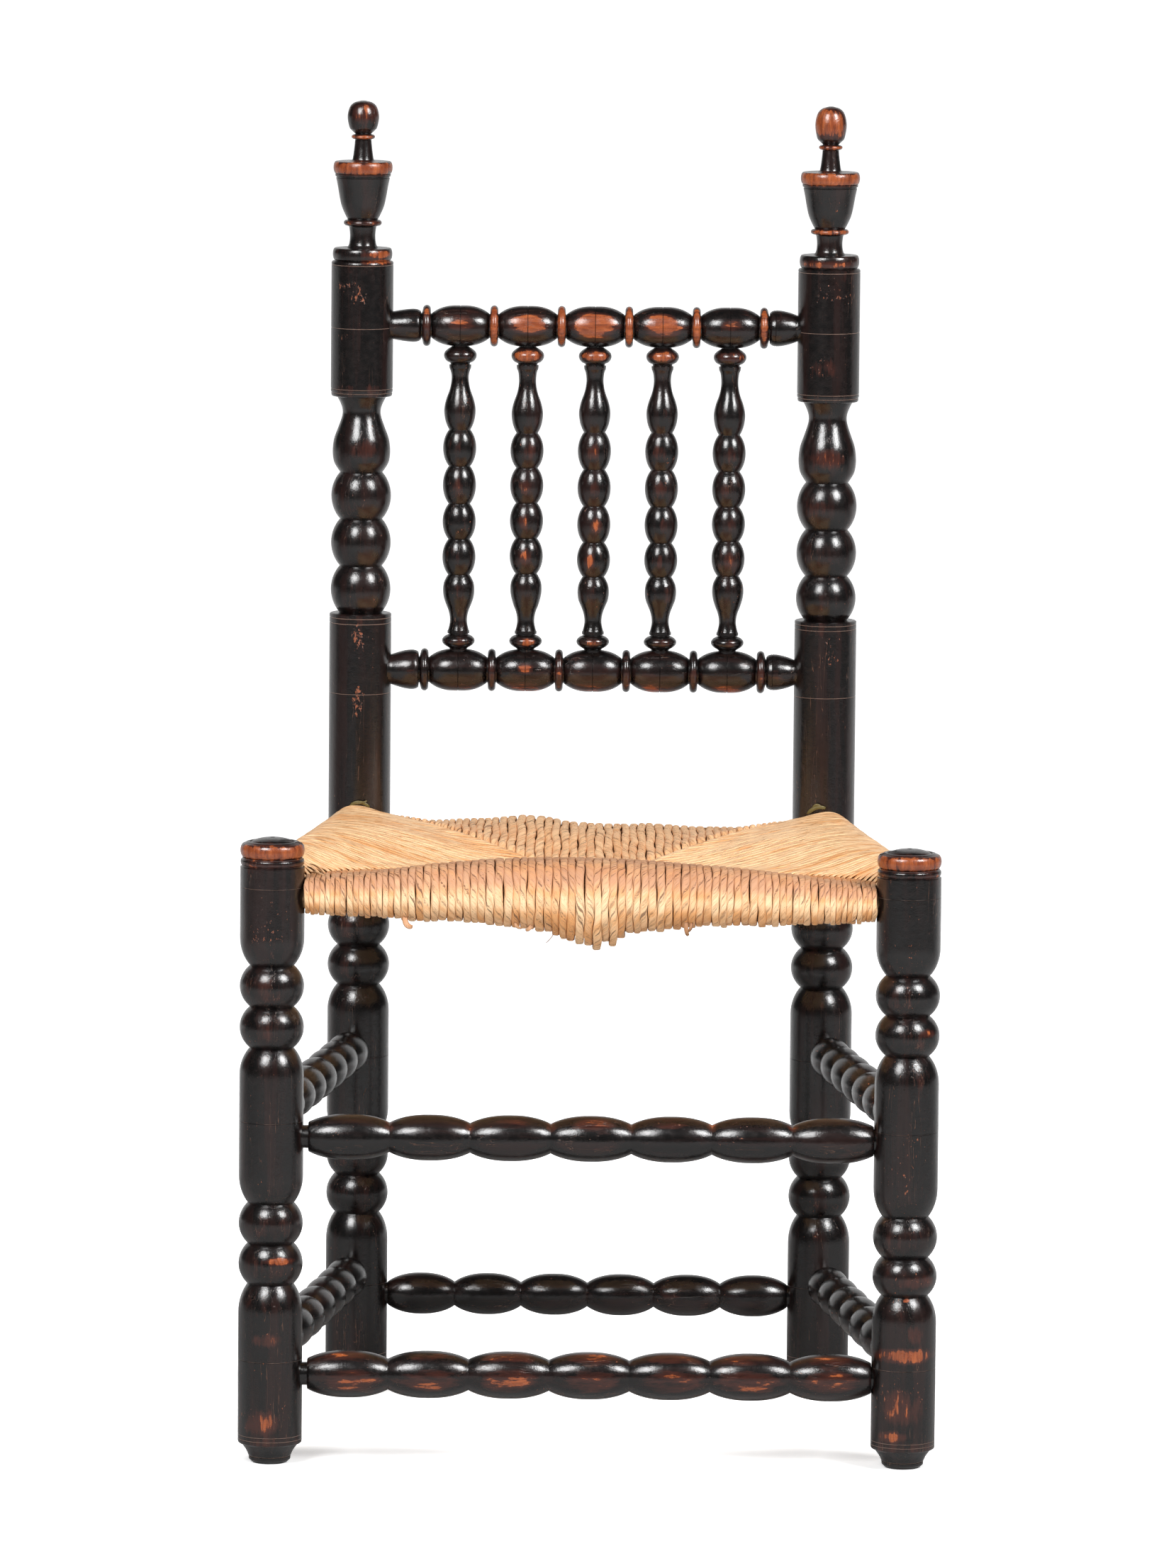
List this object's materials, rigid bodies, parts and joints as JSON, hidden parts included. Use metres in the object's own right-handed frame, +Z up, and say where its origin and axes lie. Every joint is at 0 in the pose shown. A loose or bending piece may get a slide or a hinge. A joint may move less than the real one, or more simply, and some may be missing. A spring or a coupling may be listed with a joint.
{
  "type": "rush-seat side chair",
  "caption": "Turned side chair with a spindle back, finials on its back posts and a wound rush seat.",
  "frame": {"origin": "on the floor, under the middle of the four posts' overall box", "axes": "+Z up along the posts, -Y towards the sitter's feet (the chair faces -Y), +X to the right as seen from the front"},
  "size_m": [0.552, 0.4358, 1.0564],
  "materials": {
    "ebonised_wood": "near-black stain rubbed through to red-brown on the high turnings, waxed",
    "bare_wood": "bare, as turned",
    "rush": "twisted rush cord, golden straw, dusty on the rolls",
    "rush_packing": "loose broken rush"
  },
  "bodies": {
    "root": {"front_post_left": "ebonised_wood", "front_post_right": "ebonised_wood", "back_post_left": "ebonised_wood", "back_post_right": "ebonised_wood", "front_stretcher_upper": "ebonised_wood", "front_stretcher_lower": "ebonised_wood", "side_stretcher_left_upper": "ebonised_wood", "side_stretcher_left_lower": "ebonised_wood", "side_stretcher_right_upper": "ebonised_wood", "side_stretcher_right_lower": "ebonised_wood", "rear_stretcher": "ebonised_wood", "top_back_rail": "ebonised_wood", "lower_back_rail": "ebonised_wood", "spindle_1": "ebonised_wood", "spindle_2": "ebonised_wood", "spindle_3": "ebonised_wood", "spindle_4": "ebonised_wood", "spindle_5": "ebonised_wood", "seat_rail_front": "bare_wood", "seat_rail_back": "bare_wood", "seat_rail_left": "bare_wood", "seat_rail_right": "bare_wood", "rush_seat": "rush", "rush_stuffing": "rush_packing"}
  },
  "joints": []
}
